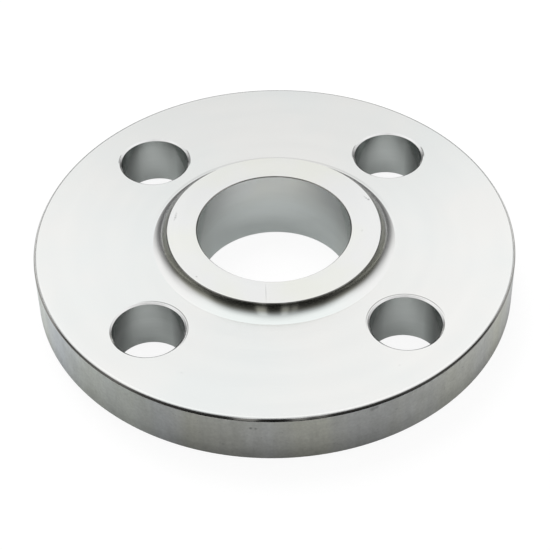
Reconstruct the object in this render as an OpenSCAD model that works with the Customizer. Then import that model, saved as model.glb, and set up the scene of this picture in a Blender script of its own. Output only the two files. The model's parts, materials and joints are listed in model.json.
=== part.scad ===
// Slip on pipe flange: a round plate with a low hub on one side, a raised gasket face on the
// other, a plain bore that slips over the pipe and a circle of bolt holes.
// The origin is the centre of the bore on the gasket face. +Z runs along the bore to the hub.

/* [Plate] */
// Outside diameter of the plate
plate_d = 110; // [100:0.5:130]
// Thickness of the plate, without the hub and the raised face
plate_t = 12.7; // [9:0.1:20]
// Width of the rim's edge break on the hub side
rim_hub_break_w = 0.5; // [0.2:0.1:1.5]
// Height of the rim's edge break on the hub side
rim_hub_break_h = 0.7; // [0.2:0.1:1.5]
// Edge break of the rim on the gasket side
rim_gasket_break = 0.3; // [0.1:0.1:1.5]

/* [Hub] */
// Outside diameter of the hub at its end
hub_d = 49; // [44:0.5:54]
// How far the hub's foot on the plate spreads beyond the hub's end
hub_spread = 3.2; // [2:0.1:3.6]
// Height of the hub above the plate
hub_rise = 3.3; // [2:0.1:20]
// Radius of the hollow curve of the hub's wall, raised where the curve would undercut
hub_fillet = 5; // [3:0.1:12]
// Edge break round the end of the hub
hub_break = 0.2; // [0.1:0.05:0.5]

/* [Raised face] */
// Diameter of the raised gasket face
face_d = 50.8; // [46:0.1:60]
// Height of the raised gasket face above the plate
face_h = 2; // [1:0.1:7]
// Radius in the corner between raised face and plate, limited by the face's wall
face_fillet = 0.5; // [0.2:0.1:0.8]
// Edge break round the raised face
face_break = 0.2; // [0.1:0.05:0.5]

/* [Bore] */
// Diameter of the bore
bore_d = 35.1; // [30:0.1:40]
// Edge break of the bore at the hub's end
bore_hub_break = 0.2; // [0.1:0.05:1]
// Edge break of the bore at the gasket face
bore_face_break = 0.3; // [0.1:0.05:1]

/* [Bolt holes] */
// Diameter of the circle through the centres of the bolt holes
bolt_circle_d = 79.4; // [76:0.1:88]
// Number of bolt holes, evenly spaced, with the X and Y axes midway between two
bolt_count = 4; // [4:4:12]
// Diameter of a bolt hole
bolt_hole_d = 16; // [12:0.5:19]
// Width of the countersink at both ends of a bolt hole
countersink_w = 0.65; // [0.2:0.05:1.2]
// Depth of the countersink at both ends of a bolt hole
countersink_h = 0.4; // [0.1:0.05:1.2]

/* [Hidden] */

// Radii of the diameters above
plate_r = plate_d / 2;
hub_r = hub_d / 2;
face_r = face_d / 2;
bore_r = bore_d / 2;
bolt_hole_r = bolt_hole_d / 2;

// Heights of the plate's two sides and of the hub's end above the gasket face
gasket_side_z = face_h;
hub_side_z = gasket_side_z + plate_t;
hub_end_z = hub_side_z + hub_rise;

// Corner radius of the raised face, no larger than the wall that it leaves
face_fillet_r = min(face_fillet, face_h - face_break);

// The hub's foot, and the straight line from there to the edge break at the hub's end
hub_foot_r = hub_r + hub_spread;
hub_wall_h = hub_rise - hub_break;
hub_wall_slope = atan(hub_wall_h / hub_spread);
hub_wall_half = norm([hub_spread, hub_wall_h]) / 2;

// The circle through both ends of that line, which gives the hub's wall its hollow curve. At each
// end the curve turns off the line by the bend limit at most, so it cuts under neither plate nor hub.
hub_bend_limit = min(hub_wall_slope, 90 - hub_wall_slope);
hub_fillet_r = max(hub_fillet, hub_wall_half / sin(hub_bend_limit));
hub_fillet_off = sqrt(pow(hub_fillet_r, 2) - pow(hub_wall_half, 2));
hub_fillet_at = [
    hub_r + hub_spread / 2 + hub_fillet_off * sin(hub_wall_slope),
    hub_side_z + hub_wall_h / 2 + hub_fillet_off * cos(hub_wall_slope)
];

// How far a cut runs past the surface that it starts from
overrun = 1;

// Turn of the first bolt hole from the X axis
first_bolt_angle = 180 / bolt_count;

steel = [0.80, 0.80, 0.79];
$fn = 96;
fillet_fn = 48;

// What shapes the hub's wall: the part of its circle that lies above the plate.
module hub_fillet_cut() {
    intersection() {
        translate(hub_fillet_at)
            circle(r = hub_fillet_r, $fn = fillet_fn);
        translate([hub_r - hub_break, hub_side_z])
            square([hub_spread + hub_break + 2 * overrun, hub_rise]);
    }
}

// The circle that touches the raised face's wall and the plate.
module face_fillet_cut() {
    translate([face_r + face_fillet_r, gasket_side_z - face_fillet_r])
        circle(r = face_fillet_r, $fn = fillet_fn);
}

// Half section of the turned body, with the radius along X and the height along Y.
// The hub's slanting lines lie outside its curve, which the first cut gives it. The straight line
// at the foot of the raised face gives the metal for its corner radius.
module turned_section() {
    difference() {
        polygon([
            [bore_r + bore_face_break, 0],
            [face_r - face_break, 0],
            [face_r, face_break],
            [face_r, gasket_side_z - face_fillet_r],
            [face_r + face_fillet_r, gasket_side_z],
            [plate_r - rim_gasket_break, gasket_side_z],
            [plate_r, gasket_side_z + rim_gasket_break],
            [plate_r, hub_side_z - rim_hub_break_h],
            [plate_r - rim_hub_break_w, hub_side_z],
            [hub_foot_r + overrun, hub_side_z],
            [hub_r + overrun, hub_end_z - hub_break - overrun],
            [hub_r - hub_break, hub_end_z],
            [bore_r + bore_hub_break, hub_end_z],
            [bore_r, hub_end_z - bore_hub_break],
            [bore_r, bore_face_break]
        ]);
        hub_fillet_cut();
        face_fillet_cut();
    }
}

// One bolt hole, as the drill and the two countersinks cut it.
module bolt_hole_cut() {
    mouth_r = bolt_hole_r + countersink_w;
    rotate_extrude()
        polygon([
            [0, gasket_side_z - overrun],
            [mouth_r, gasket_side_z - overrun],
            [mouth_r, gasket_side_z],
            [bolt_hole_r, gasket_side_z + countersink_h],
            [bolt_hole_r, hub_side_z - countersink_h],
            [mouth_r, hub_side_z],
            [mouth_r, hub_side_z + overrun],
            [0, hub_side_z + overrun]
        ]);
}

// Sets its children at each place of the bolt circle.
module on_bolt_circle() {
    for (i = [0 : bolt_count - 1])
        rotate([0, 0, first_bolt_angle + i * 360 / bolt_count])
            translate([bolt_circle_d / 2, 0, 0])
                children();
}

module flange() {
    color(steel)
        difference() {
            rotate_extrude() turned_section();
            on_bolt_circle() bolt_hole_cut();
        }
}

flange();
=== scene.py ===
"""Looks of the slip on flange: one turned and drilled piece of stainless steel on a white table.

The row frame has its origin at the centre of the bore on the gasket face, and +Z runs along the
bore to the hub. Sizes are in millimetres until the mesh is made, and MM turns them into metres.
"""

import json
import math
from collections import namedtuple

import bpy
from mathutils import Matrix, Vector


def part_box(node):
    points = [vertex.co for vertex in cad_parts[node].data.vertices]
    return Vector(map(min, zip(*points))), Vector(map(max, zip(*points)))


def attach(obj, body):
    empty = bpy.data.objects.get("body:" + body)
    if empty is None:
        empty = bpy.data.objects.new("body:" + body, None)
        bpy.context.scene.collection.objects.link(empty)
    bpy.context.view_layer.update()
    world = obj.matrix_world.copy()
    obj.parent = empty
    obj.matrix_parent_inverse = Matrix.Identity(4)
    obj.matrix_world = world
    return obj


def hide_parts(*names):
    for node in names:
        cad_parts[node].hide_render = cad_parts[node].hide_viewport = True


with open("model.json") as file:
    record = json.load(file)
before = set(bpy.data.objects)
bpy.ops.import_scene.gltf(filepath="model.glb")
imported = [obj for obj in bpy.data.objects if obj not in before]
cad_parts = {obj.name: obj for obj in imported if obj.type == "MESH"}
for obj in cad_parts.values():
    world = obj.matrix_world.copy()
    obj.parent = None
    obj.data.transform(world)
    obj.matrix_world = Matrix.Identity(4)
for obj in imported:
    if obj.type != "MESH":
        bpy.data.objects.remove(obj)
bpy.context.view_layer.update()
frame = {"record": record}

MM = 0.001
FULL_TURN = math.tau
PIECE_NAME = "flange_steel"

# Sizes of the piece that the frame gives, in mm

mounts = {mount["name"]: mount["dims"] for mount in frame["record"]["mounts"]}
node_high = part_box("flange")[1]

PLATE_R = node_high.x / MM
HUB_END_Z = node_high.z / MM
BORE_R = mounts["pipe_bore"]["r_mm"]
HOLE_R = mounts["bolt_circle"]["hole_r_mm"]
HOLE_COUNT = mounts["bolt_circle"]["count"]
BOLT_CIRCLE_R = mounts["bolt_circle"]["pcd_mm"] / 2

# The other sizes of the piece, in mm

FACE_R = 25.4
FACE_H = 2.0
PLATE_T = 12.7
HUB_R = 24.5
HUB_SPREAD = 3.2
HUB_HOLLOW_R = 5.0
FACE_FILLET = 0.5
FACE_BREAK = 0.2
HUB_BREAK = 0.2
BORE_HUB_BREAK = 0.2
BORE_FACE_BREAK = 0.3
RIM_HUB_BREAK_W = 0.5
RIM_HUB_BREAK_H = 0.7
RIM_GASKET_BREAK = 0.3
HOLE_MOUTH_W = 0.44
HOLE_MOUTH_H = 0.34
HUB_SIDE_Z = FACE_H + PLATE_T

# The small radii that machined edges really have: any edge, and the two of the rim's hub side
EDGE_R = 0.05
RIM_EDGE_R = 0.3
PLATE_EDGE_R = 0.7

# Fine round grooves of the gasket face
GROOVE_PITCH = 0.5
GROOVE_DEPTH = 0.03
GROOVE_MARGIN = 0.35
FACING_DOWN = -0.999  # z of a normal that points straight down, with room for rounding

# How finely the mesh is cut

COLUMNS = 256  # round the part
PATCH_COLUMNS = 24  # of them over each bolt hole
PATCH_ROWS = 24  # radial steps beside a bolt hole
HOLE_POINTS = 2 * (PATCH_COLUMNS + PATCH_ROWS)  # round a hole, one for each step of its patch
PATCH_IN_R = 28.5
PATCH_OUT_R = 51.5
FLAT_ROUND_MOUTH = 0.5  # flat ring that belongs to a hole's own section
PATCH_RING_SHARES = (0.1, 0.25, 0.45, 0.7)  # of the way from the hole to the patch's edge
EDGE_STEPS = 2
RIM_EDGE_STEPS = 4
PLATE_EDGE_STEPS = 8
FACE_FILLET_STEPS = 8
HUB_HOLLOW_STEPS = 16
GROOVE_STEPS = 4
FACE_WALL_ROWS = 2
RIM_ROWS = 12
HUB_END_ROWS = 6
BORE_ROWS = 16
HOLE_ROWS = 10

# A corner of a section: its place and radius in mm and the steps of its arc, and the steps and
# the region of the straight line that leaves it
Corner = namedtuple("Corner", "r z radius arc_steps line_steps region")
SectionPoint = namedtuple("SectionPoint", "r z normal_r normal_z region")

REGIONS = ("turned", "hub_wall", "edge", "gasket", "rim", "bore", "hole", "countersink")


def corner_arc(before, corner, after):
    """Points of the arc that rounds a corner, with their outward normals.

    A section is travelled with the metal on its left, so the outward normal is on its right.
    """
    at = Vector((corner.r, corner.z))
    go_in = (at - Vector((before.r, before.z))).normalized()
    go_out = (Vector((after.r, after.z)) - at).normalized()
    turn = math.atan2(go_in.x * go_out.y - go_in.y * go_out.x, go_in.dot(go_out))
    bulge = math.copysign(corner.radius, turn)
    start = at - go_in * corner.radius * math.tan(abs(turn) / 2)
    normal_in = Vector((go_in.y, -go_in.x))
    centre = start - normal_in * bulge
    points = []
    for step in range(corner.arc_steps + 1):
        angle = turn * step / corner.arc_steps
        normal = Vector(
            (
                normal_in.x * math.cos(angle) - normal_in.y * math.sin(angle),
                normal_in.x * math.sin(angle) + normal_in.y * math.cos(angle),
            )
        )
        point = centre + normal * bulge
        points.append(SectionPoint(point.x, point.y, normal.x, normal.y, corner.region))
    return points


def open_end(start, end, corner):
    """The point of a corner at an open end, whose normal is that of the line from start to end."""
    go = (Vector((end.r, end.z)) - Vector((start.r, start.z))).normalized()
    return SectionPoint(corner.r, corner.z, go.y, -go.x, corner.region)


def straight(start, end, count, region):
    """Points that cut the way from start to end into count equal steps, without its two ends."""
    start_at, end_at = Vector((start.r, start.z)), Vector((end.r, end.z))
    go = (end_at - start_at).normalized()
    points = []
    for step in range(1, count):
        at = start_at.lerp(end_at, step / count)
        points.append(SectionPoint(at.x, at.y, go.y, -go.x, region))
    return points


def rounded_section(corners, closed):
    """Section points of a line of corners, each rounded but for the two ends of an open line."""
    arcs = []
    for i, corner in enumerate(corners):
        before, after = corners[i - 1], corners[(i + 1) % len(corners)]
        if not closed and i == 0:
            arcs.append([open_end(corner, after, corner)])
        elif not closed and i == len(corners) - 1:
            arcs.append([open_end(before, corner, corner)])
        else:
            arcs.append(corner_arc(before, corner, after))
    points = []
    for i, corner in enumerate(corners):
        points += arcs[i]
        if closed or i < len(corners) - 1:
            following = arcs[(i + 1) % len(corners)][0]
            points += straight(points[-1], following, corner.line_steps, corner.region)
    return points


def hub_wall_corner():
    """The corner whose rounding is the hub's hollow wall, from the foot to the edge break above.

    The rounding stops short of both ends by the room that their own small radii take.
    """
    wall_h = HUB_END_Z - HUB_BREAK - HUB_SIDE_Z
    slope = math.atan2(wall_h, HUB_SPREAD)
    half = math.hypot(HUB_SPREAD, wall_h) / 2
    bend = math.asin(half / HUB_HOLLOW_R)
    reach = half / math.cos(bend)
    r = HUB_R + HUB_SPREAD - reach * math.cos(slope - bend)
    z = HUB_SIDE_Z + reach * math.sin(slope - bend)
    return Corner(r, z, (reach - EDGE_R) / math.tan(bend), HUB_HOLLOW_STEPS, 1, "hub_wall")


def body_section():
    """The closed half section of the turned body, from the bore's lower edge outwards."""
    edge = (EDGE_R, EDGE_STEPS)
    rim_break_r = PLATE_R - RIM_HUB_BREAK_W
    return rounded_section(
        [
            Corner(BORE_R + BORE_FACE_BREAK, 0, *edge, 1, "gasket"),
            Corner(FACE_R - FACE_BREAK, 0, *edge, 1, "turned"),
            Corner(FACE_R, FACE_BREAK, *edge, FACE_WALL_ROWS, "turned"),
            Corner(FACE_R, FACE_H, FACE_FILLET, FACE_FILLET_STEPS, 1, "turned"),
            Corner(PLATE_R - RIM_GASKET_BREAK, FACE_H, *edge, 1, "edge"),
            Corner(PLATE_R, FACE_H + RIM_GASKET_BREAK, *edge, RIM_ROWS, "rim"),
            Corner(PLATE_R, HUB_SIDE_Z - RIM_HUB_BREAK_H, RIM_EDGE_R, RIM_EDGE_STEPS, 1, "edge"),
            Corner(rim_break_r, HUB_SIDE_Z, PLATE_EDGE_R, PLATE_EDGE_STEPS, 1, "turned"),
            Corner(HUB_R + HUB_SPREAD, HUB_SIDE_Z, *edge, 1, "hub_wall"),
            hub_wall_corner(),
            Corner(HUB_R, HUB_END_Z - HUB_BREAK, *edge, 1, "edge"),
            Corner(HUB_R - HUB_BREAK, HUB_END_Z, *edge, HUB_END_ROWS, "turned"),
            Corner(BORE_R + BORE_HUB_BREAK, HUB_END_Z, *edge, 1, "edge"),
            Corner(BORE_R, HUB_END_Z - BORE_HUB_BREAK, *edge, BORE_ROWS, "bore"),
            Corner(BORE_R, BORE_FACE_BREAK, *edge, 1, "bore"),
        ],
        closed=True,
    )


def hole_section():
    """The open section of a bolt hole, from the hub side down to the gasket side."""
    edge = (EDGE_R, EDGE_STEPS)
    mouth_r = HOLE_R + HOLE_MOUTH_W
    flat_r = mouth_r + FLAT_ROUND_MOUTH
    return rounded_section(
        [
            Corner(flat_r, HUB_SIDE_Z, *edge, 1, "turned"),
            Corner(mouth_r, HUB_SIDE_Z, *edge, 1, "countersink"),
            Corner(HOLE_R, HUB_SIDE_Z - HOLE_MOUTH_H, *edge, HOLE_ROWS, "hole"),
            Corner(HOLE_R, FACE_H + HOLE_MOUTH_H, *edge, 1, "countersink"),
            Corner(mouth_r, FACE_H, *edge, 1, "turned"),
            Corner(flat_r, FACE_H, *edge, 1, "turned"),
        ],
        closed=False,
    )


def with_grooves(section):
    """The section with the gasket face's grooves, cut as round waves into the metal."""
    gasket = [i for i, point in enumerate(section) if point.region == "gasket"]
    first = next(i for i in gasket if section[i].normal_z < FACING_DOWN)
    after = gasket[-1] + 1
    start_r = section[first].r + GROOVE_MARGIN
    end_r = section[after].r - GROOVE_MARGIN
    count = int((end_r - start_r) / GROOVE_PITCH)
    grooves = []
    for step in range(count * GROOVE_STEPS + 1):
        phase = FULL_TURN * step / GROOVE_STEPS
        slope = GROOVE_DEPTH * math.pi / GROOVE_PITCH * math.sin(phase)
        length = math.hypot(slope, 1)
        grooves.append(
            SectionPoint(
                start_r + GROOVE_PITCH * step / GROOVE_STEPS,
                GROOVE_DEPTH * (1 - math.cos(phase)) / 2,
                slope / length,
                -1 / length,
                "gasket",
            )
        )
    return section[: first + 1] + grooves + section[first + 1 :]


def with_patch_edges(section):
    """The section with a ring at each edge of the bands that hold the bolt holes."""
    points = []
    for i, point in enumerate(section):
        points.append(point)
        after = section[(i + 1) % len(section)]
        if min(point.r, after.r) < PATCH_IN_R and max(point.r, after.r) > PATCH_OUT_R:
            edges = sorted((PATCH_IN_R, PATCH_OUT_R), reverse=point.r > after.r)
            points += [point._replace(r=r) for r in edges]
    return points


def path_lengths(section):
    """The length along a section up to each of its points."""
    lengths = [0.0]
    for a, b in zip(section, section[1:]):
        lengths.append(lengths[-1] + math.hypot(b.r - a.r, b.z - a.z))
    return lengths


class Sheet:
    """A square on which the unrolled surfaces lie side by side, in mm, without overlap."""

    GAP = 1.5

    def __init__(self, disc_radii):
        self.size = 2 * sum(disc_radii) + self.GAP * (len(disc_radii) + 1)
        self.discs = []
        x = self.GAP
        for radius in disc_radii:
            self.discs.append((x + radius, self.size - self.GAP - radius))
            x += 2 * radius + self.GAP
        self.x = self.GAP
        self.row_top = self.size - 2 * (max(disc_radii) + self.GAP)
        self.row_h = 0

    def strip(self, width, height):
        """The lower left corner of a free place for a strip."""
        if self.x + width + self.GAP > self.size:
            self.x = self.GAP
            self.row_top -= self.row_h + self.GAP
            self.row_h = 0
        corner = (self.x, self.row_top - height)
        self.x += width + self.GAP
        self.row_h = max(self.row_h, height)
        return corner

    def uv(self, x, y):
        return (x / self.size, y / self.size)


class MeshParts:
    """Vertices with their normals, and faces with their regions and places on the sheet."""

    def __init__(self):
        self.points, self.normals = [], []
        self.faces, self.regions, self.uvs = [], [], []

    def point(self, place, normal):
        self.points.append(place)
        self.normals.append(normal)
        return len(self.points) - 1

    def face(self, corners, uvs, region):
        self.faces.append(corners)
        self.uvs.append(uvs)
        self.regions.append(REGIONS.index(region))

    def ring(self, section_point, count, centre=(0, 0), start=0):
        """A ring of points round a vertical axis through centre."""
        ids = []
        for i in range(count):
            angle = start + FULL_TURN * i / count
            c, s = math.cos(angle), math.sin(angle)
            p = section_point
            place = (centre[0] + p.r * c, centre[1] + p.r * s, p.z)
            ids.append(self.point(place, (p.normal_r * c, p.normal_r * s, p.normal_z)))
        return ids

    def band(self, ring_a, ring_b, columns, region, uv_a, uv_b):
        """Quads between two rings over some columns; uv_a and uv_b give a column's place."""
        count = len(ring_a)
        for i in columns:
            j = (i + 1) % count
            self.face(
                (ring_a[i % count], ring_a[j], ring_b[j], ring_b[i % count]),
                (uv_a(i), uv_a(i + 1), uv_b(i + 1), uv_b(i)),
                region,
            )


class FlangeMesh(MeshParts):
    """The whole surface of the flange as one closed mesh of quads.

    A side of the plate is 1 for the hub side and -1 for the gasket side. Each has a disc on the
    sheet, and the rim, the bore and the bolt holes have strips.
    """

    def __init__(self):
        super().__init__()
        self.section = with_patch_edges(with_grooves(body_section()))
        self.along = path_lengths(self.section)
        regions = [point.region for point in self.section]
        self.rim_start = regions.index("rim")
        self.rim_end = next(i for i in range(self.rim_start, len(regions)) if regions[i] != "rim")
        self.bore_start = regions.index("bore", self.rim_end)
        self.sheet = Sheet((self.disc_radius(self.rim_end), self.disc_radius(self.rim_start)))
        self.discs = dict(zip((1, -1), self.sheet.discs))
        self.rings = [self.ring(point, COLUMNS) for point in self.section]
        self.add_rim()
        self.add_bore()
        flat_bands = self.add_disc_bands()
        mouths = self.add_holes()
        for i in flat_bands:
            self.add_flat_band(i, mouths)

    def disc_radius(self, i):
        """The radius of a ring on its disc.

        It follows the section's length, so that no upright wall is squeezed to nothing.
        """
        if i <= self.rim_start:
            return self.along[i] + (self.section[0].r - self.along[0])
        return self.section[self.bore_start].r + self.along[self.bore_start] - self.along[i]

    def on_disc(self, i):
        """The function that gives a column's place on the disc, for one ring."""
        side = -1 if i <= self.rim_start else 1
        disc, radius = self.discs[side], self.disc_radius(i)

        def place(column):
            angle = FULL_TURN * column / COLUMNS
            x = disc[0] + side * radius * math.cos(angle)
            return self.sheet.uv(x, disc[1] + radius * math.sin(angle))

        return place

    def add_strip(self, rings, heights, radius, columns, regions):
        """The bands between rings as a strip of the sheet, on which each ring has its height."""
        step = FULL_TURN * radius / len(rings[0])
        left, foot = self.sheet.strip(step * len(columns), max(heights))

        def at(height):
            return lambda column: self.sheet.uv(left + (column - columns[0]) * step, foot + height)

        for i in range(len(rings) - 1):
            low, high = at(heights[i]), at(heights[i + 1])
            self.band(rings[i], rings[i + 1], columns, regions[i], low, high)

    def add_rim(self):
        """The rim in two strips, half a turn each."""
        rings = self.rings[self.rim_start : self.rim_end + 1]
        foot = self.along[self.rim_start]
        heights = [length - foot for length in self.along[self.rim_start : self.rim_end + 1]]
        half = COLUMNS // 2
        for columns in (range(half), range(half, COLUMNS)):
            self.add_strip(rings, heights, PLATE_R, columns, ["rim"] * len(rings))

    def add_bore(self):
        first, last = self.section[0], self.section[-1]
        length = self.along[-1] + math.hypot(first.r - last.r, first.z - last.z)
        rings = [*self.rings[self.bore_start :], self.rings[0]]
        heights = [*(length - passed for passed in self.along[self.bore_start :]), 0.0]
        self.add_strip(rings, heights, BORE_R, range(COLUMNS), ["bore"] * len(rings))

    def add_disc_bands(self):
        """Both sides but for the flat bands that hold the bolt holes, which it returns."""
        flat_bands = []
        for i in [*range(self.rim_start), *range(self.rim_end, self.bore_start)]:
            point, after = self.section[i], self.section[i + 1]
            if {point.r, after.r} == {PATCH_IN_R, PATCH_OUT_R}:
                flat_bands.append(i)
                continue
            rings = self.rings[i], self.rings[i + 1]
            self.band(*rings, range(COLUMNS), point.region, self.on_disc(i), self.on_disc(i + 1))
        return flat_bands

    def add_holes(self):
        """The walls of the bolt holes. It returns the ring at each end by side and hole."""
        section = hole_section()
        along = path_lengths(section)
        heights = [along[-1] - length for length in along]
        regions = [point.region for point in section]
        mouths = {1: [], -1: []}
        for hole in range(HOLE_COUNT):
            angle = FULL_TURN * (hole + 0.5) / HOLE_COUNT
            centre = (BOLT_CIRCLE_R * math.cos(angle), BOLT_CIRCLE_R * math.sin(angle))
            start = angle - FULL_TURN * PATCH_COLUMNS / (2 * HOLE_POINTS)
            rings = [self.ring(point, HOLE_POINTS, centre, start) for point in section]
            self.add_strip(rings, heights, HOLE_R, range(HOLE_POINTS), regions)
            mouths[1].append(rings[0])
            mouths[-1].append(rings[-1])
        return mouths

    def add_flat_band(self, i, mouths):
        """A flat band of one side, with a grid between the holes and rings round each of them."""
        side = 1 if self.section[i].normal_z > 0 else -1
        z = self.section[i].z
        disc = self.discs[side]
        shift = self.disc_radius(i) - self.section[i].r
        inner, outer = (self.rings[i], self.rings[i + 1])[::-side]

        def uv(index):
            x, y, _ = self.points[index]
            length = math.hypot(x, y)
            stretch = (length + shift) / length
            return self.sheet.uv(disc[0] + side * x * stretch, disc[1] + y * stretch)

        def quad(a, b, c, d):
            corners = (a, b, c, d)[::side]
            self.face(corners, tuple(uv(k) for k in corners), "turned")

        spacing = COLUMNS // HOLE_COUNT
        half_patch = PATCH_COLUMNS // 2
        # Columns of the grid from the inner to the outer ring, where no hole lies
        grid = {}
        for column in range(COLUMNS):
            if abs(column % spacing - spacing // 2) < half_patch:
                continue
            angle = FULL_TURN * column / COLUMNS
            rows = [inner[column]]
            for row in range(1, PATCH_ROWS):
                r = PATCH_IN_R + (PATCH_OUT_R - PATCH_IN_R) * row / PATCH_ROWS
                place = (r * math.cos(angle), r * math.sin(angle), z)
                rows.append(self.point(place, (0, 0, side)))
            grid[column] = [*rows, outer[column]]
        for column, rows in grid.items():
            following = grid.get((column + 1) % COLUMNS)
            in_patch = abs((column + 0.5) % spacing - spacing / 2) < half_patch
            if following is None or in_patch:
                continue
            for row in range(PATCH_ROWS):
                quad(rows[row], rows[row + 1], following[row + 1], following[row])

        for hole, mouth in enumerate(mouths[side]):
            middle = spacing * hole + spacing // 2
            first, last = middle - half_patch, middle + half_patch
            border = [outer[c % COLUMNS] for c in range(first, last)]
            border += grid[last % COLUMNS][:0:-1]
            border += [inner[c % COLUMNS] for c in range(last, first, -1)]
            border += grid[first % COLUMNS][:-1]
            rings = [mouth]
            for share in PATCH_RING_SHARES:
                ring = []
                for a, b in zip(mouth, border):
                    at = Vector(self.points[a]).lerp(Vector(self.points[b]), share)
                    ring.append(self.point(tuple(at), (0, 0, side)))
                rings.append(ring)
            rings.append(border)
            for near, far in zip(rings, rings[1:]):
                for k in range(HOLE_POINTS):
                    j = (k + 1) % HOLE_POINTS
                    quad(near[k], far[k], far[j], near[j])


def make_piece(parts, materials):
    """The mesh object, with smooth shading by the true normals of the turned section."""
    mesh = bpy.data.meshes.new(PIECE_NAME)
    mesh.from_pydata([tuple(c * MM for c in p) for p in parts.points], [], parts.faces)
    mesh.polygons.foreach_set("material_index", parts.regions)
    mesh.shade_smooth()
    layer = mesh.uv_layers.new(name="OFBake")
    layer.uv.foreach_set("vector", [c for face in parts.uvs for uv in face for c in uv])
    mesh.normals_split_custom_set_from_vertices(parts.normals)
    for region in REGIONS:
        mesh.materials.append(materials[region])
    piece = bpy.data.objects.new(PIECE_NAME, mesh)
    bpy.context.scene.collection.objects.link(piece)
    return piece


# Materials

# Patches of noise: its scale per metre, detail and roughness, and its values at which a patch
# starts and is full
Patches = namedtuple("Patches", "scale detail roughness low high")


class Nodes:
    """Short calls that build one node tree."""

    def __init__(self, tree):
        self.tree = tree
        tree.nodes.clear()

    def add(self, kind, inputs=(), **settings):
        node = self.tree.nodes.new("ShaderNode" + kind)
        for name, value in settings.items():
            setattr(node, name, value)
        for key, value in dict(inputs).items():
            self.put(value, node.inputs[key])
        return node

    def put(self, value, socket):
        if isinstance(value, bpy.types.NodeSocket):
            self.tree.links.new(value, socket)
        else:
            socket.default_value = value

    def place(self):
        return self.add("TexCoord").outputs["Object"]

    def math(self, operation, *values):
        return self.add("Math", dict(enumerate(values)), operation=operation).outputs[0]

    def times(self, value, *factors):
        for factor in factors:
            value = self.math("MULTIPLY", value, factor)
        return value

    def vector(self, operation, *values):
        """The vector that an operation on vectors gives."""
        return self.add("VectorMath", dict(enumerate(values)), operation=operation).outputs[0]

    def measure(self, operation, *values):
        """The number that an operation on vectors gives, such as a length."""
        node = self.add("VectorMath", dict(enumerate(values)), operation=operation)
        return node.outputs["Value"]

    def xyz(self, vector):
        return self.add("SeparateXYZ", {0: vector}).outputs

    def span(self, value, low, high, to_low=0.0, to_high=1.0, smooth=False):
        """value taken from low..high to to_low..to_high."""
        kind = "SMOOTHSTEP" if smooth else "LINEAR"
        inputs = {0: value, 1: low, 2: high, 3: to_low, 4: to_high}
        return self.add("MapRange", inputs, interpolation_type=kind).outputs[0]

    def mix(self, factor, a, b):
        inputs = {0: factor, 6: a, 7: b}
        return self.add("Mix", inputs, data_type="RGBA").outputs[2]

    def blend(self, factor, a, b):
        """The number that is factor of the way from a to b."""
        return self.add("Mix", {0: factor, 2: a, 3: b}, data_type="FLOAT").outputs[0]

    def tinted(self, colour, tint, amount=1.0):
        """colour times tint, as far as amount says."""
        inputs = {0: amount, 6: colour, 7: tint}
        return self.add("Mix", inputs, data_type="RGBA", blend_type="MULTIPLY").outputs[2]

    def near(self, value, at, reach):
        """1 where value is at, falling to 0 at reach from it."""
        off = self.math("ABSOLUTE", self.math("SUBTRACT", value, at))
        return self.span(off, 0.0, reach, 1.0, 0.0, smooth=True)

    def noise(self, vector, scale, detail=2.0, roughness=0.5):
        inputs = {"Vector": vector, "Scale": scale, "Detail": detail, "Roughness": roughness}
        return self.add("TexNoise", inputs).outputs[0]

    def patches(self, vector, kind):
        noise = self.noise(vector, kind.scale, kind.detail, kind.roughness)
        return self.span(noise, kind.low, kind.high)

    def ramp(self, value, stops):
        """value led through (position, level) stops."""
        node = self.add("ValToRGB", {0: value})
        elements = node.color_ramp.elements
        while len(elements) < len(stops):
            elements.new(0.5)
        for element, (position, level) in zip(elements, stops):
            element.position = position
            element.color = (level, level, level, 1.0)
        return node.outputs[0]


def rgb(r, g, b):
    return (r, g, b, 1.0)


def grey(level):
    return rgb(level, level, level)


class TurnedPattern:
    """Coordinates of a turned surface: x, y, z, the radius, and the way out from the axis."""

    def __init__(self, nodes):
        self.nodes = nodes
        self.place = nodes.place()
        self.x, self.y, self.z = nodes.xyz(self.place)
        flat = nodes.add("CombineXYZ", {0: self.x, 1: self.y}).outputs[0]
        self.radius = nodes.measure("LENGTH", flat)
        self.way = nodes.xyz(nodes.vector("NORMALIZE", flat))

    def rings(self, across, per_metre, slow, detail=2.0):
        """Noise in rings: it changes per_metre times along across and slowly round the axis."""
        n = self.nodes
        inputs = {
            0: n.times(across, per_metre),
            1: n.times(self.way[0], slow),
            2: n.times(self.way[1], slow),
        }
        return n.noise(n.add("CombineXYZ", inputs).outputs[0], 1.0, detail)


# Tool marks: how often they change across them per metre, and round the axis
FINE_RINGS = 6000.0
FINE_SLOW = 1.2
FINE_DETAIL = 3.0
BROAD_RINGS = 260.0
BROAD_SLOW = 0.8
BROAD_SHARE = 0.6  # of the tone, the rest is the fine marks'
TONE_SPAN = (0.3, 0.7)
# Cloudy patches and spots: scale per metre, detail and roughness
CLOUDS = (45.0, 3.0, 0.6)
SPOTS = (260.0, 4.0, 0.65)
SPOTS_SHARE = 0.5
MOTTLE_SPAN = (0.55, 0.95)
MOTTLE_BLUE = 1.15  # how much more of the blue a patch loses
ROUGH_SPAN = (0.6, 1.4)
QUARTER_TURN = 0.25


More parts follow.
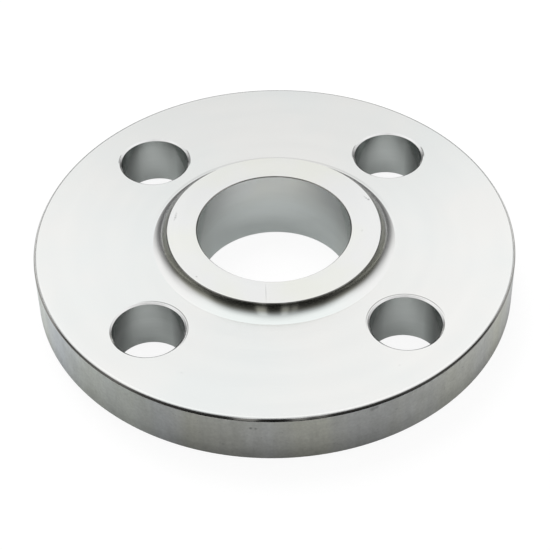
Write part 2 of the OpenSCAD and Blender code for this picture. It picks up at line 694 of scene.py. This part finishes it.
def steel_material(
    name,
    tone,
    roughness,
    grain,
    anisotropic=0.0,
    mottle=0.0,
    drilled=False,
    metallic=1.0,
    specular=0.5,
    finish_and_shade=None,
):
    """Machined stainless steel.

    tone is its dark and light colour, roughness its lowest and highest, grain the depth of the
    tool marks in metres, and mottle the strength of its larger cloudy patches. A drilled surface
    has its marks round its own axis, and a turned one round the part's. finish_and_shade is a
    function that gives the colour its local tints and marks, and on some surfaces painted shade
    and painted reflections.
    """
    material = bpy.data.materials.new(name)
    material.use_nodes = True
    n = Nodes(material.node_tree)
    turned = TurnedPattern(n)
    across = turned.z if drilled else n.math("ADD", turned.radius, turned.z)
    fine = turned.rings(across, FINE_RINGS, FINE_SLOW, FINE_DETAIL)
    broad = turned.rings(across, BROAD_RINGS, BROAD_SLOW)
    clouds = n.noise(turned.place, *CLOUDS)

    tone_at = n.math("ADD", n.times(broad, BROAD_SHARE), n.times(fine, 1 - BROAD_SHARE))
    colour = n.mix(n.span(tone_at, *TONE_SPAN), *tone)
    if mottle:
        spots = n.noise(turned.place, *SPOTS)
        clear = n.span(n.math("ADD", clouds, n.times(spots, SPOTS_SHARE)), *MOTTLE_SPAN)
        patch = rgb(1 - mottle, 1 - mottle, 1 - MOTTLE_BLUE * mottle)
        colour = n.tinted(colour, n.mix(clear, patch, grey(1.0)))
    if finish_and_shade:
        colour = finish_and_shade(n, turned, colour)
    bump = n.add("Bump", {"Strength": 1.0, "Distance": grain, "Height": fine}).outputs[0]
    inputs = {
        "Base Color": colour,
        "Metallic": metallic,
        "Specular IOR Level": specular,
        "Roughness": n.span(n.math("ADD", fine, clouds), *ROUGH_SPAN, *roughness),
        "Anisotropic": anisotropic,
        "Anisotropic Rotation": QUARTER_TURN,
        "Normal": bump,
    }
    shader = n.add("BsdfPrincipled", inputs)
    if anisotropic and drilled:
        facing = n.add("NewGeometry").outputs["Normal"]
        n.put(n.vector("CROSS_PRODUCT", facing, (0.0, 0.0, 1.0)), shader.inputs["Tangent"])
    elif anisotropic:
        tangent = n.add("Tangent", direction_type="RADIAL", axis="Z")
        n.put(tangent.outputs[0], shader.inputs["Tangent"])
    n.put(shader.outputs[0], n.add("OutputMaterial").inputs[0])
    return material


# In the finishes below, a share is what a mark leaves of the tone, and a pair of numbers says
# where a tint starts and where it is full


def speckled(n, place, colour, specks):
    """colour with dark specks: x, y, z and reach in mm, and the share of the tone they leave."""
    for x, y, z, reach, share in specks:
        off = n.measure("DISTANCE", place, (x * MM, y * MM, z * MM))
        colour = n.tinted(colour, grey(share), n.near(off, 0.0, reach * MM))
    return colour


# Finish of the flat turned faces, with painted shade lines

# How near the height of a side, in mm, its own tints start and are full
SIDE_START = 1.0
SIDE_FULL = 0.5
HUB_END_PATCHES = Patches(60.0, 3.0, 0.5, 0.4, 0.62)
HUB_END_TINT = rgb(0.995, 1.0, 0.95)
PLATE_CLOUDS = Patches(38.0, 3.0, 0.5, 0.35, 0.65)
PLATE_CLOUD_TINTS = (rgb(0.955, 0.98, 0.975), rgb(1.0, 1.0, 0.985))
HUB_END_CLOUDS_SHARE = 0.35
# Painted shade: thin dark lines round the hub's foot and along the plate's edge, on the far half
# only. The pair is y of the way out from the axis
AT_BACK = (0.2, 0.8)
FOOT_SHADE_R = 28.2
FOOT_SHADE_REACH = 0.5
FOOT_SHADE_SHARE = 0.84
BRINK_SHADE_R = PLATE_R - RIM_HUB_BREAK_W
BRINK_SHADE_REACH = 0.5
BRINK_SHADE_SHARE = 0.55
# Painted shade: thin dark lines beside the bolt holes' mouths, along their lips. The columns are
# the hole's side in x and y, the direction of the mark's middle and its half length in degrees,
# its radius and reach in mm, and the share of the tone that it leaves
MOUTH_SHADE_LINES = (
    (-1, -1, 35, 75, 8.66, 0.17, 0.28),
    (1, -1, 100, 95, 8.68, 0.17, 0.35),
    (-1, 1, 8, 22, 8.55, 0.2, 0.2),
    (-1, 1, 172, 12, 8.55, 0.18, 0.3),
    (1, 1, 6, 14, 8.58, 0.24, 0.2),
    (1, 1, 168, 18, 8.55, 0.2, 0.3),
)
MOUTH_SHADE_FULL = 0.6  # of its half length, over which it isn't fading
# Dark specks on the hub side, as speckled takes them
SPECKS = (
    (-22.3, 5.6, HUB_END_Z, 0.4, 0.8),
    (-22.4, 4.9, HUB_END_Z, 0.45, 0.7),
    (-22.5, 4.2, HUB_END_Z, 0.45, 0.62),
    (-22.7, 3.5, HUB_END_Z, 0.4, 0.78),
    (-17.5, -15.4, HUB_END_Z, 0.3, 0.6),
    (22.1, 8.6, HUB_END_Z, 0.45, 0.5),
    (21.6, 9.1, HUB_END_Z, 0.35, 0.6),
    (21.2, 9.6, HUB_END_Z, 0.35, 0.75),
    (20.0, -1.9, HUB_END_Z, 0.3, 0.75),
    (25.7, -40.7, HUB_SIDE_Z, 0.3, 0.85),
    (-20.6, -41.1, HUB_SIDE_Z, 0.3, 0.85),
)
# A hairline across the hub's end: its middle and its reach from there in x and y, in mm
HAIRLINE_AT = (-2.24, -21.15)
HAIRLINE_REACH = (0.14, 3.78)
HAIRLINE_SHARE = 0.75


def mouth_shaded(n, place, colour):
    """colour with painted shade lines beside the bolt holes' mouths."""
    hole_at = BOLT_CIRCLE_R * math.sqrt(0.5)  # x and y of a hole's centre, but for their signs
    for side_x, side_y, middle, half_length, radius, reach, share in MOUTH_SHADE_LINES:
        centre = (side_x * hole_at * MM, side_y * hole_at * MM, HUB_SIDE_Z * MM)
        away = n.vector("SUBTRACT", place, centre)
        aim = math.radians(middle)
        towards = (math.cos(aim), math.sin(aim), 0.0)
        along = n.measure("DOT_PRODUCT", n.vector("NORMALIZE", away), towards)
        ends = [math.cos(math.radians(half_length * part)) for part in (1.0, MOUTH_SHADE_FULL)]
        mark = n.near(n.measure("LENGTH", away), radius * MM, reach * MM)
        colour = n.tinted(colour, grey(share), n.times(mark, n.span(along, *ends)))
    return colour


def plate_finish_and_shade(n, turned, colour):
    """A yellow cast on the hub's end, clouds, painted shade in thin lines at the hub's foot, the
    plate's far edge and the bolt holes' lips, specks and a hairline.
    """
    on_plate = n.span(turned.z, (HUB_SIDE_Z - SIDE_START) * MM, (HUB_SIDE_Z - SIDE_FULL) * MM)
    on_hub = n.span(turned.z, (HUB_SIDE_Z + SIDE_START) * MM, (HUB_END_Z - SIDE_FULL) * MM)
    yellow = n.times(on_hub, n.patches(turned.place, HUB_END_PATCHES))
    colour = n.tinted(colour, HUB_END_TINT, yellow)
    clouds = n.mix(n.patches(turned.place, PLATE_CLOUDS), *PLATE_CLOUD_TINTS)
    colour = n.tinted(colour, clouds, n.span(on_hub, 0.0, 1.0, 1.0, HUB_END_CLOUDS_SHARE))

    # Painted shade: dark lines at the hub's foot and along the plate's far edge, on the far half only
    at_back = n.span(turned.way[1], *AT_BACK)
    foot = n.near(turned.radius, FOOT_SHADE_R * MM, FOOT_SHADE_REACH * MM)
    colour = n.tinted(colour, grey(FOOT_SHADE_SHARE), n.times(foot, at_back, on_plate))
    brink_shade = n.near(turned.radius, BRINK_SHADE_R * MM, BRINK_SHADE_REACH * MM)
    colour = n.tinted(colour, grey(BRINK_SHADE_SHARE), n.times(brink_shade, at_back))

    # Painted shade along the bolt holes' lips
    colour = mouth_shaded(n, turned.place, colour)
    colour = speckled(n, turned.place, colour, SPECKS)
    across = n.near(turned.x, HAIRLINE_AT[0] * MM, HAIRLINE_REACH[0] * MM)
    along = n.near(turned.y, HAIRLINE_AT[1] * MM, HAIRLINE_REACH[1] * MM)
    return n.tinted(colour, grey(HAIRLINE_SHARE), n.times(across, along, on_hub))


# Painted reflection and shade on the hub's hollow wall

# Height above the plate, in mm, over which the foot's painted reflection tint gives way to the upper
# wall's
HUB_WALL_CHANGE = (0.9, 1.9)
# Painted reflection: the upper wall's dark olive tint, and the foot's cyan tint in front
HUB_WALL_REFLECTION_TINT = rgb(0.42, 0.42, 0.365)
HUB_FOOT_TINT = rgb(0.99, 0.99, 0.985)
HUB_FOOT_FRONT_REFLECTION_TINT = rgb(0.955, 1.0, 0.99)
HUB_FOOT_FRONT = (-0.68, -0.94)  # y of the way out from the axis
# Depth below the hub's end, in mm, over which the wall darkens towards it, as painted shade
HUB_WALL_TOP_SHADE = (1.4, 0.2)
HUB_WALL_TOP_SHADE_SHARE = 0.52


def hub_wall_painted_light(n, turned, colour):
    """Painted reflection and shade: towards the hub's end the colour darkens, a little olive, for a
    second, weaker reflection; the foot is tinted cyan in front, and the wall darkens below the end.
    """
    change = [(HUB_SIDE_Z + height) * MM for height in HUB_WALL_CHANGE]
    front = n.span(turned.way[1], *HUB_FOOT_FRONT)
    foot = n.mix(front, HUB_FOOT_TINT, HUB_FOOT_FRONT_REFLECTION_TINT)
    colour = n.tinted(colour, n.mix(n.span(turned.z, *change, smooth=True), foot, HUB_WALL_REFLECTION_TINT))
    top = [(HUB_END_Z - depth) * MM for depth in HUB_WALL_TOP_SHADE]
    top_shade = n.span(turned.z, *top, smooth=True)
    return n.tinted(colour, n.mix(top_shade, grey(1.0), grey(HUB_WALL_TOP_SHADE_SHARE)))


# Finish of the bore and the bolt holes, with painted shade on their sides

WALL_TOP_SHARE = 0.8
BORE_PATCHES = Patches(55.0, 2.0, 0.5, 0.42, 0.6)
BORE_PATCH_TINT = rgb(1.0, 0.99, 0.95)
BORE_LOW_TINT = rgb(0.985, 1.015, 1.01)
BORE_HIGH = (9.0, 16.0)  # z in mm
BORE_SHADED_SIDES = (0.8, 1.0)  # how far the wall faces along x
# Painted shade that darkens the bore's two sides
BORE_SIDES_SHADE_TINT = rgb(0.84, 0.835, 0.82)
# Painted shade: share of the tone left on a bolt hole's wall, by where it faces, from 0 for -X to 1 for +X
HOLE_WALL_SHADE_LEVELS = (
    (0.0, 0.25),
    (0.07, 0.36),
    (0.21, 0.95),
    (0.35, 0.9),
    (0.5, 0.79),
    (0.75, 0.71),
    (0.93, 0.36),
    (1.0, 0.25),
)


def facing_x(n):
    """How far the surface faces along x, from -1 to 1."""
    return n.xyz(n.add("NewGeometry").outputs["Normal"])[0]


def darker_above(n, turned, colour):
    """A wall's colour, darker near the hub side."""
    return n.tinted(colour, n.span(turned.z, FACE_H * MM, HUB_SIDE_Z * MM, 1.0, WALL_TOP_SHARE))


def hole_finish_and_shade(n, turned, colour):
    """A bolt hole's wall, darker on its two sides by painted shade."""
    level = n.ramp(n.span(facing_x(n), -1.0, 1.0), HOLE_WALL_SHADE_LEVELS)
    return darker_above(n, turned, n.tinted(colour, level))


def bore_finish_and_shade(n, turned, colour):
    """The bore's wall, a little darker on its two sides by painted shade, with warmer patches near
    the hub side.
    """
    high = n.span(turned.z, *(height * MM for height in BORE_HIGH))
    warm = n.times(n.patches(turned.place, BORE_PATCHES), high)
    colour = n.tinted(colour, BORE_PATCH_TINT, warm)
    colour = n.tinted(colour, n.mix(high, BORE_LOW_TINT, grey(1.0)))
    side_shade = n.span(n.math("ABSOLUTE", facing_x(n)), *BORE_SHADED_SIDES)
    return darker_above(n, turned, n.tinted(colour, BORE_SIDES_SHADE_TINT, side_shade))


# Finish of the rim, with painted shade and a painted reflection

# Painted shade: share of the tone left, from the rim's foot at 0 to its top at 1, at the sides and in
# front
RIM_SIDE_SHADE_LEVELS = ((0.02, 0.56), (0.05, 0.75), (0.3, 0.90), (0.7, 0.98), (1.0, 1.0))
RIM_FRONT_SHADE_LEVELS = ((0.02, 0.36), (0.05, 0.51), (0.3, 0.71), (0.7, 0.90), (1.0, 0.97))
RIM_FRONT = (-0.82, -0.95)  # y of the way out from the axis
# Painted shade on the rim's right side
RIM_RIGHT_SHADE = (38.0, 53.0)  # x in mm
RIM_RIGHT_SHADE_SHARE = 0.82
# Painted cool reflection on the rim's left side
RIM_COOL_REFLECTION = (-18.0, -32.0)  # x in mm
RIM_COOL_REFLECTION_TINT = rgb(0.965, 1.0, 1.05)
UPRIGHT = (1.0, 1.0, 0.12)  # squeezes heights, so that noise runs in upright streaks
RIM_STREAKS = Patches(420.0, 3.0, 0.6, 0.32, 0.68)
RIM_STREAKS_SHARE = 0.90
RIM_CLOUDS = Patches(70.0, 2.0, 0.5, 0.4, 0.62)
RIM_CLOUD_TINTS = (rgb(0.97, 0.98, 1.0), rgb(1.0, 1.0, 0.93))
RIM_GRAINS = Patches(1400.0, 2.0, 0.5, 0.3, 0.7)
RIM_GRAINS_SHARE = 0.88
RIM_PITS = Patches(700.0, 3.0, 0.6, 0.64, 0.72)
RIM_PITS_SHARE = 0.78
# Dark smudges: angle in degrees, z and reach in mm, and the share of the tone they leave
RIM_SMUDGES = (
    (263.5, 11.8, 0.55, 0.48),
    (264.6, 11.7, 0.5, 0.6),
    (290.5, 13.1, 0.9, 0.6),
    (291.5, 13.3, 0.8, 0.66),
)


def rim_finish_and_shade(n, turned, colour):
    """Painted shade towards the foot, in front and on the right, and a painted cool reflection on
    the left, with upright streaks, clouds, grains, pits and smudges.
    """
    rise = n.span(turned.z, FACE_H * MM, HUB_SIDE_Z * MM)
    front = n.span(turned.way[1], *RIM_FRONT)
    levels = n.ramp(rise, RIM_SIDE_SHADE_LEVELS), n.ramp(rise, RIM_FRONT_SHADE_LEVELS)
    colour = n.tinted(colour, n.mix(front, *levels))
    right = n.span(turned.x, *(x * MM for x in RIM_RIGHT_SHADE))
    colour = n.tinted(colour, grey(RIM_RIGHT_SHADE_SHARE), right)
    upright = n.vector("MULTIPLY", turned.place, UPRIGHT)
    streaks = n.patches(upright, RIM_STREAKS)
    colour = n.tinted(colour, n.mix(streaks, grey(RIM_STREAKS_SHARE), grey(1.0)))
    colour = n.tinted(colour, n.mix(n.patches(upright, RIM_CLOUDS), *RIM_CLOUD_TINTS))
    colour = n.tinted(colour, RIM_COOL_REFLECTION_TINT, n.span(turned.x, *(x * MM for x in RIM_COOL_REFLECTION)))
    grains = n.patches(turned.place, RIM_GRAINS)
    colour = n.tinted(colour, n.mix(grains, grey(RIM_GRAINS_SHARE), grey(1.0)))
    colour = n.tinted(colour, grey(RIM_PITS_SHARE), n.patches(turned.place, RIM_PITS))
    smudges = []
    for degrees, z, reach, share in RIM_SMUDGES:
        angle = math.radians(degrees)
        smudges.append((PLATE_R * math.cos(angle), PLATE_R * math.sin(angle), z, reach, share))
    return speckled(n, turned.place, colour, smudges)


materials = {
    "turned": steel_material(
        "steel_turned",
        tone=(rgb(0.94, 0.942, 0.94), rgb(0.975, 0.975, 0.97)),
        roughness=(0.18, 0.24),
        grain=1e-6,
        anisotropic=0.85,
        finish_and_shade=plate_finish_and_shade,
    ),
    "hub_wall": steel_material(
        "steel_hub_wall",
        tone=(rgb(0.90, 0.903, 0.898), rgb(0.935, 0.935, 0.928)),
        roughness=(0.14, 0.18),
        grain=1e-6,
        anisotropic=0.8,
        finish_and_shade=hub_wall_painted_light,
    ),
    # Painted shade: the edge breaks have a dark tone that stands in for the dark lines they reflect
    "edge": steel_material(
        "steel_edge",
        tone=(rgb(0.25, 0.245, 0.23), rgb(0.30, 0.295, 0.28)),
        roughness=(0.10, 0.14),
        grain=1e-6,
        anisotropic=0.5,
    ),
    "gasket": steel_material(
        "steel_gasket_face",
        tone=(rgb(0.66, 0.66, 0.655), rgb(0.76, 0.76, 0.75)),
        roughness=(0.2, 0.3),
        grain=2e-6,
        anisotropic=0.5,
    ),
    "rim": steel_material(
        "steel_rim",
        tone=(rgb(0.82, 0.83, 0.805), rgb(0.92, 0.93, 0.905)),
        roughness=(0.42, 0.5),
        grain=2e-6,
        mottle=0.15,
        metallic=0.5,
        specular=0.25,
        finish_and_shade=rim_finish_and_shade,
    ),
    "bore": steel_material(
        "steel_bore",
        tone=(rgb(0.715, 0.735, 0.727), rgb(0.815, 0.835, 0.827)),
        roughness=(0.18, 0.24),
        grain=1.5e-6,
        anisotropic=0.7,
        finish_and_shade=bore_finish_and_shade,
    ),
    "hole": steel_material(
        "steel_bolt_hole",
        tone=(rgb(0.77, 0.815, 0.795), rgb(0.90, 0.945, 0.925)),
        roughness=(0.16, 0.22),
        grain=1.5e-6,
        anisotropic=0.7,
        drilled=True,
        finish_and_shade=hole_finish_and_shade,
    ),
    "countersink": steel_material(
        "steel_countersink",
        tone=(rgb(0.89, 0.893, 0.888), rgb(0.93, 0.93, 0.925)),
        roughness=(0.18, 0.22),
        grain=1e-6,
        anisotropic=0.5,
        drilled=True,
    ),
}

flange = make_piece(FlangeMesh(), materials)
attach(flange, "root")
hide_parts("flange")

# Floor, surroundings and light, in metres and degrees

RIGHT_ANGLE = 90.0
STAGE_COLUMNS = 96
FLOOR_R = 3.0
FLOOR_WHITE = 0.92
FLOOR_GLOW = 1.05
FLOOR_GLOW_FOR_CAMERA = 0.86
FLOOR_GLOW_FOR_METAL = 0.2
FLOOR_GLOW_UNDER_PART = 0.09  # for metal too, up to the first of the radii below
UNDER_PART_R = (0.046, 0.0552)
SURROUND_R = 1.5
DOME_ELEVATIONS = range(0, 88, 4)
CARD_IN_R = 0.056
CARD_LIFT = 0.0002
CARD_SIDES = (30.0, 95.0)  # angles from the lens at which the card starts to fade and is gone
CARD_CLEAR = 0.03
# How much light the scrim lets through, by elevation, at some angles from the lens
SCRIM = (
    (5, ((0, 0.02), (15, 0.02), (25, 0.04), (35, 0.14), (44, 0.26), (54, 0.51), (64, 0.79), (84, 0.98))),
    (45, ((0, 0.05), (11, 0.05), (21, 0.11), (31, 0.28), (40, 0.43), (49, 0.63), (57, 0.84), (66, 0.97))),
    (70, ((0, 0.07), (8, 0.08), (15, 0.25), (24, 0.60), (31, 0.76), (40, 0.88), (47, 0.93), (55, 0.98))),
    (90, ((0, 0.07), (9, 0.16), (17, 0.34), (25, 0.54), (33, 0.74), (40, 0.87), (46, 0.96), (60, 0.98))),
    (110, ((0, 0.14), (7, 0.24), (14, 0.36), (20, 0.51), (28, 0.71), (35, 0.87), (42, 0.96), (60, 0.98))),
    (130, ((0, 0.13), (8, 0.16), (14, 0.28), (20, 0.50), (25, 0.75), (29, 0.90), (34, 0.95), (60, 1.00))),
    (145, ((0, 0.11), (10, 0.12), (15, 0.20), (21, 0.42), (27, 0.65), (31, 0.80), (37, 0.95), (60, 1.00))),
    (165, ((0, 0.13), (14, 0.15), (20, 0.28), (27, 0.56), (33, 0.82), (38, 0.97), (44, 1.00), (60, 1.00))),
    (174, ((0, 0.25), (14, 0.28), (25, 0.55), (32, 0.75), (38, 0.84), (44, 0.87), (50, 0.93), (60, 1.00))),
)
# Upright slots in the lens side: degrees to the right of the lens, half width, light let through
SLOTS = ((-82.0, 26.0, 0.75), (-13.5, 6.0, 0.70), (8.3, 4.4, 0.60), (16.8, 3.6, 0.42))
SLOT_CORE = 0.5  # of the half width, over which a slot isn't fading
SLOT_FOOT_SHARE = 0.1  # of its light at the horizon
SLOT_FULL_UP = 23.0  # elevation from which a slot lets all of it through


def add_stage(mesh, material):
    mesh.materials.append(material)
    stage_object = bpy.data.objects.new(mesh.name, mesh)
    bpy.context.scene.collection.objects.link(stage_object)
    return stage_object


def rings_mesh(name, rings, cap=False):
    """A surface between rings given as (radius, height), closed at the last by a face if cap."""
    mesh = bpy.data.meshes.new(name)
    points = []
    for r, z in rings:
        for i in range(STAGE_COLUMNS):
            angle = FULL_TURN * i / STAGE_COLUMNS
            points.append((r * math.cos(angle), r * math.sin(angle), z))
    faces = []
    for row in range(len(rings) - 1):
        low, high = row * STAGE_COLUMNS, (row + 1) * STAGE_COLUMNS
        for i in range(STAGE_COLUMNS):
            j = (i + 1) % STAGE_COLUMNS
            faces.append((low + i, low + j, high + j, high + i))
    if cap:
        last = (len(rings) - 1) * STAGE_COLUMNS
        faces.append(tuple(range(last, last + STAGE_COLUMNS)))
    mesh.from_pydata(points, [], faces)
    mesh.shade_smooth()
    return mesh


def floor_material():
    """A white table that lights up a little from within, so its shadows stay soft and pale."""
    material = bpy.data.materials.new("white_table")
    material.use_nodes = True
    n = Nodes(material.node_tree)
    rays = n.add("LightPath").outputs
    metal = n.math("MAXIMUM", rays["Is Glossy Ray"], rays["Is Transmission Ray"])
    radius = n.measure("LENGTH", n.place())
    shares = (FLOOR_GLOW_UNDER_PART, FLOOR_GLOW_FOR_METAL)
    for_metal = n.span(radius, *UNDER_PART_R, *shares, smooth=True)
    for_camera = n.times(rays["Is Camera Ray"], FLOOR_GLOW_FOR_CAMERA)
    glow = n.math("ADD", for_camera, n.times(metal, for_metal))
    matt = n.add("BsdfDiffuse", {"Color": grey(FLOOR_WHITE)})
    light = n.add("Emission", {"Color": grey(1.0), "Strength": FLOOR_GLOW})
    mixed = n.add("MixShader", {0: glow, 1: matt.outputs[0], 2: light.outputs[0]})
    n.put(mixed.outputs[0], n.add("OutputMaterial").inputs[0])
    return material


def side_angle(n, place):
    """Degrees round the axis from the lens, positive to its right."""
    x, y, _ = n.xyz(place)
    return n.times(n.math("ARCTAN2", x, n.times(y, -1.0)), math.degrees(1))


def scrim_output(n, clear):
    """A black cloth that lets the share clear of the light through."""
    cloth = n.add("BsdfDiffuse", {"Color": grey(0.0)})
    open_air = n.add("BsdfTransparent")
    mixed = n.add("MixShader", {0: clear, 1: cloth.outputs[0], 2: open_air.outputs[0]})
    n.put(mixed.outputs[0], n.add("OutputMaterial").inputs[0])


def scrim_material():
    """A dark graded scrim round the table, clear overhead and densest low on the lens side."""
    material = bpy.data.materials.new("dark_scrim")
    material.use_nodes = True
    n = Nodes(material.node_tree)
    place = n.place()
    up = n.math("ARCSINE", n.xyz(n.vector("NORMALIZE", place))[2])
    up = n.times(up, math.degrees(1) / RIGHT_ANGLE)
    angle = side_angle(n, place)
    off_lens = n.math("ABSOLUTE", angle)
    clear, reached = None, None
    for side, stops in SCRIM:
        level = n.ramp(up, [(elevation / RIGHT_ANGLE, share) for elevation, share in stops])
        clear = n.blend(n.span(off_lens, reached, side), clear, level) if reached else level
        reached = side
    rise = n.span(up, 0.0, SLOT_FULL_UP / RIGHT_ANGLE, SLOT_FOOT_SHARE, 1.0)
    for middle, half_width, level in SLOTS:
        off = n.math("ABSOLUTE", n.math("SUBTRACT", angle, middle))
        inside = n.span(off, half_width * SLOT_CORE, half_width, 1.0, 0.0, smooth=True)
        clear = n.blend(inside, clear, n.math("MAXIMUM", clear, n.times(rise, level)))
    scrim_output(n, clear)
    return material


def shade_card_material():
    """Painted shade: the black card on the table in front of the part, fading out to its two sides.
    It is seen only in reflections, where it stands in for the table's shade in front of the part.
    """
    material = bpy.data.materials.new("dark_card")
    material.use_nodes = True
    n = Nodes(material.node_tree)
    off_lens = n.math("ABSOLUTE", side_angle(n, n.place()))
    scrim_output(n, n.span(off_lens, *CARD_SIDES, CARD_CLEAR, 1.0, smooth=True))
    return material


add_stage(rings_mesh("white_table", [(FLOOR_R, 0)], cap=True), floor_material())

dome_rings = [
    (SURROUND_R * math.cos(math.radians(up)), SURROUND_R * math.sin(math.radians(up)))
    for up in DOME_ELEVATIONS
]
# The card is painted shade for the metal's reflections of the table in front of the part
card_rings = [(CARD_IN_R, CARD_LIFT), (SURROUND_R, CARD_LIFT)]
for mesh, material in (
    (rings_mesh("dark_scrim", dome_rings, cap=True), scrim_material()),
    (rings_mesh("dark_card", card_rings), shade_card_material()),
):
    cloth = add_stage(mesh, material)
    cloth.visible_camera = False
    cloth.visible_diffuse = False
    cloth.visible_shadow = False

WORLD_LIGHT = 0.6
WORLD_WHITE = 1.0


def white_world():
    """A white room: plain white to the camera, metal and glass, and weaker as a light."""
    world = bpy.data.worlds.new("white_studio")
    world.use_nodes = True
    n = Nodes(world.node_tree)
    rays = n.add("LightPath").outputs
    seen = n.math("MAXIMUM", rays["Is Camera Ray"], rays["Is Glossy Ray"])
    seen = n.math("MAXIMUM", seen, rays["Is Transmission Ray"])
    strength = n.span(seen, 0.0, 1.0, WORLD_LIGHT, WORLD_WHITE)
    background = n.add("Background", {"Color": grey(1.0), "Strength": strength})
    n.put(background.outputs[0], n.add("OutputWorld").inputs[0])
    return world


bpy.context.scene.world = white_world()

SOFTBOX_SIZE = 0.8
SOFTBOX_AT = Vector((-0.25, 0.6, 1.2))
SOFTBOX_POWER = 9.0

softbox_data = bpy.data.lights.new("softbox", "AREA")
softbox_data.shape = "SQUARE"
softbox_data.size = SOFTBOX_SIZE
softbox_data.energy = SOFTBOX_POWER
softbox = bpy.data.objects.new("softbox", softbox_data)
softbox.location = SOFTBOX_AT
softbox.rotation_euler = (-SOFTBOX_AT).to_track_quat("-Z", "Y").to_euler()
softbox.visible_glossy = False
softbox.visible_camera = False
bpy.context.scene.collection.objects.link(softbox)

# Camera, at the photograph's place: angles in degrees, and the point that it looks at in metres

CAMERA_ELEVATION = 44.243
CAMERA_AZIMUTH = -0.547
CAMERA_ROLL = -1.213
CAMERA_DISTANCE = 403.58 * MM
CAMERA_AIM = Vector((0.03, -3.09, 5.83)) * MM
CAMERA_LENS = 114.19
CAMERA_SENSOR = 36.0
CAMERA_CLIP = (0.01, 20.0)

azimuth_turn = Matrix.Rotation(math.radians(CAMERA_AZIMUTH), 4, "Z")
camera_turn = (
    azimuth_turn
    @ Matrix.Rotation(math.radians(RIGHT_ANGLE - CAMERA_ELEVATION), 4, "X")
    @ Matrix.Rotation(math.radians(CAMERA_ROLL), 4, "Z")
)
back = camera_turn.to_3x3() @ Vector((0, 0, 1))
camera_at = azimuth_turn @ CAMERA_AIM + back * CAMERA_DISTANCE
camera_data = bpy.data.cameras.new("camera")
camera_data.sensor_width = CAMERA_SENSOR
camera_data.lens = CAMERA_LENS
camera_data.clip_start, camera_data.clip_end = CAMERA_CLIP
camera = bpy.data.objects.new("camera", camera_data)
camera.matrix_world = Matrix.Translation(camera_at) @ camera_turn
bpy.context.scene.collection.objects.link(camera)
bpy.context.scene.camera = camera

bpy.context.scene.view_settings.view_transform = "Standard"
